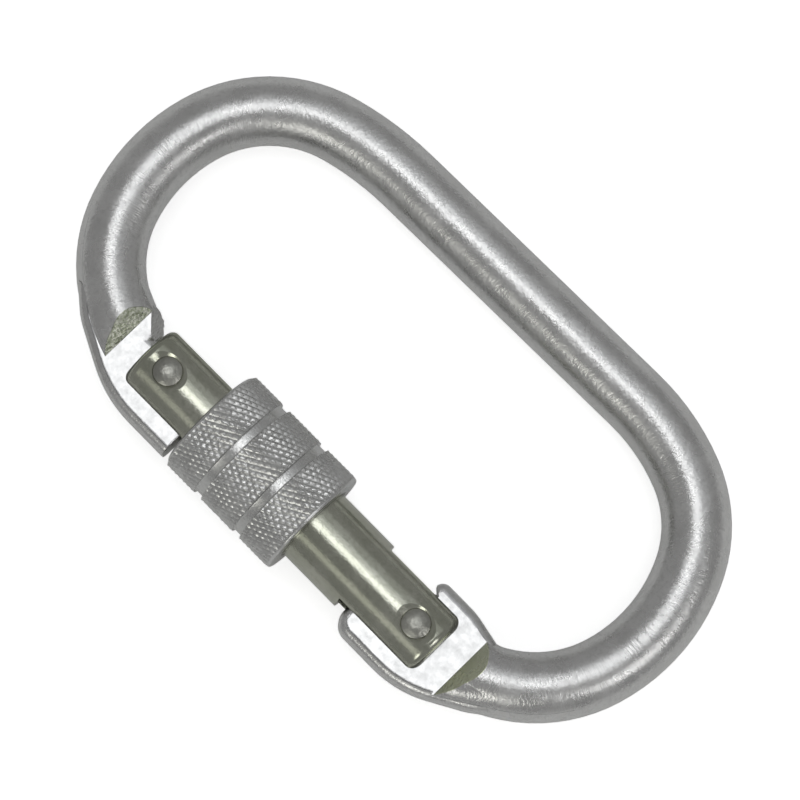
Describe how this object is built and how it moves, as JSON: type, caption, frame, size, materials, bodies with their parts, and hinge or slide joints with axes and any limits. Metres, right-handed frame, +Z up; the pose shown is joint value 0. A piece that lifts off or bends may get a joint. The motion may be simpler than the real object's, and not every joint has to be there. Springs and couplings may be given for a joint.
{
  "type": "locking carabiner",
  "caption": "Oval steel connector: a bent round bar with flat coined ends, closed by a sprung slotted gate that a knurled screw sleeve locks.",
  "frame": {"origin": "centre of the whole object's box, on the mid-plane of the bar and gate", "axes": "+X along the gate from the latch nose to the hinge, +Y from the gate to the spine, +Z up out of the mid-plane"},
  "size_m": [0.1084, 0.0597, 0.018],
  "materials": {
    "frame_plating": "satin bright zinc plating on steel",
    "gate_plating": "smooth olive-grey zinc plating on steel",
    "rivet_plating": "satin zinc plating on steel",
    "sleeve_plating": "matt zinc plating on knurled steel",
    "pusher_steel": "plain turned steel",
    "spring_steel": "drawn spring wire"
  },
  "bodies": {
    "body": {"frame": "frame_plating"},
    "gate": {"gate_tube": "gate_plating", "hinge_rivet": "rivet_plating", "latch_rivet": "rivet_plating", "gate_spring": "spring_steel"},
    "pusher": {"spring_pusher": "pusher_steel"},
    "sleeve_slider": {"sleeve_drag_ring": "spring_steel"},
    "sleeve": {"locking_sleeve": "sleeve_plating"}
  },
  "joints": [
    {"name": "gate_swing", "type": "hinge", "parent": "body", "child": "gate", "pos_m": [0.02493, -0.02083, 0], "axis": [0, 0, -1], "range_deg": [0, 30], "stiffness_Nm_per_rad": 0.25, "springref_deg": -28.65},
    {"name": "pusher_slide", "type": "slide", "parent": "gate", "child": "pusher", "axis": [-1, 0, 0], "range_m": [0, 0.00103], "deforming": ["gate_spring"]},
    {"name": "sleeve_travel", "type": "slide", "parent": "gate", "child": "sleeve_slider", "axis": [1, 0, 0], "range_m": [0, 0.011]},
    {"name": "sleeve_turn", "type": "hinge", "parent": "sleeve_slider", "child": "sleeve", "pos_m": [-0.0064, -0.02083, 0], "axis": [1, 0, 0], "range_deg": [0, 2640]}
  ],
  "couplings": [
    {"joint": "pusher_slide", "follows": "gate_swing", "m_per_rad": 0.001977},
    {"joint": "sleeve_travel", "follows": "sleeve_turn", "m_per_rad": 0.00023873}
  ]
}
